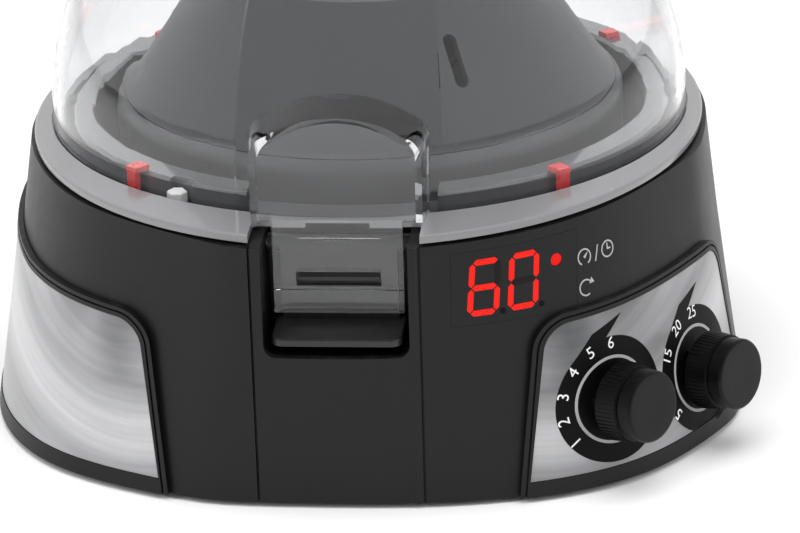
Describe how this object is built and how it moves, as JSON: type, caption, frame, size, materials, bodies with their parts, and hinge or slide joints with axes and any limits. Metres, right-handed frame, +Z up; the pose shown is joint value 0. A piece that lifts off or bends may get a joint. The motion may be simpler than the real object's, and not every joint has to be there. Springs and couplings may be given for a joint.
{
  "type": "mini centrifuge",
  "caption": "Compact bench mini centrifuge: oval body, hinged clear dome lid, angled tube rotor, front latch, digital display and knobs.",
  "frame": {"origin": "point on the spin axis at bench level, the plane of the rubber feet", "axes": "+Z up along the spin axis, -Y is the front with the latch, +X is to the right seen from the front"},
  "size_m": [0.1965, 0.1985, 0.14],
  "materials": {
    "body_plastic": "fine moulded satin, charcoal",
    "silver_label": "printed silver film",
    "smoked_window": "smoked translucent",
    "red_led": "clear red",
    "black_plastic": "satin black",
    "latch_plastic": "satin charcoal",
    "steel": "plain",
    "chamber_plastic": "polished grey",
    "red_plastic": "polished",
    "white_plastic": "natural white",
    "motor_can": "plated can",
    "rubber": "matt",
    "board": "green laminate",
    "clear_plastic": "polished clear polycarbonate",
    "rim_plastic": "polished light grey",
    "rotor_plastic": "polished dark grey",
    "hub_metal": "turned"
  },
  "bodies": {
    "base": {"housing": "body_plastic", "right_cheek": "body_plastic", "right_label": "silver_label", "left_cheek": "body_plastic", "left_label": "silver_label", "display_window": "smoked_window", "display_module": "black_plastic", "indicator_led": "red_led", "latch_recess": "black_plastic", "latch_pin": "steel", "latch_spring": "steel", "chamber_bowl": "chamber_plastic", "collar_ring": "chamber_plastic", "collar_clips": "red_plastic", "plunger_spring": "steel", "lid_switch": "black_plastic", "hinge_pin": "steel", "hinge_springs": "steel", "motor_body": "motor_can", "motor_bearings": "steel", "motor_plate": "steel", "motor_dampers": "rubber", "motor_screws": "steel", "speed_potentiometer": "black_plastic", "time_potentiometer": "black_plastic", "speed_nut": "steel", "time_nut": "steel", "base_plate": "body_plastic", "rubber_feet": "rubber", "base_screws": "steel", "control_board": "board", "board_standoffs": "white_plastic", "board_screws": "steel", "board_parts": "black_plastic", "power_inlet": "black_plastic", "switch_frame": "black_plastic"},
    "lid": {"lid_dome": "clear_plastic", "lid_rim": "rim_plastic", "lid_seal": "rubber", "hinge_arm": "body_plastic", "hinge_screws": "steel"},
    "rotor": {"rotor_bell": "rotor_plastic", "rotor_head": "rotor_plastic", "rotor_hub": "hub_metal", "rotor_nut": "black_plastic", "drive_shaft": "steel"},
    "latch": {"latch_lever": "latch_plastic"},
    "plunger": {"interlock_plunger": "white_plastic"},
    "speed_control": {"speed_knob": "black_plastic", "speed_shaft": "steel"},
    "time_control": {"time_knob": "black_plastic", "time_shaft": "steel"},
    "rocker": {"switch_rocker": "black_plastic"}
  },
  "joints": [
    {"name": "lid_hinge", "type": "hinge", "parent": "base", "child": "lid", "pos_m": [0, 0.094, 0.064], "axis": [-1, 0, 0], "range_deg": [0, 82]},
    {"name": "rotor_spin", "type": "hinge", "parent": "base", "child": "rotor", "pos_m": [0, 0, 0.06], "axis": [0, 0, 1], "continuous": true},
    {"name": "latch_press", "type": "hinge", "parent": "base", "child": "latch", "pos_m": [0, -0.0846, 0.0634], "axis": [1, 0, 0], "range_deg": [0, 7], "stiffness_Nm_per_rad": 0.08, "springref_deg": -14.32},
    {"name": "interlock_press", "type": "slide", "parent": "base", "child": "plunger", "axis": [0, 0, -1], "range_m": [0, 0.0025], "stiffness_N_per_m": 250, "springref_m": -0.001, "deforming": ["plunger_spring"]},
    {"name": "speed_turn", "type": "hinge", "parent": "base", "child": "speed_control", "pos_m": [0.06514, -0.08189, 0.0218], "axis": [0.7667, -0.632, 0.1132], "range_deg": [-140, 140]},
    {"name": "time_turn", "type": "hinge", "parent": "base", "child": "time_control", "pos_m": [0.08549, -0.05659, 0.0192], "axis": [0.8089, -0.577, 0.1132], "range_deg": [-140, 140]},
    {"name": "power_rock", "type": "hinge", "parent": "base", "child": "rocker", "pos_m": [0.0376, 0.07576, 0.024], "axis": [0, 0, 1], "range_deg": [0, 20]}
  ]
}
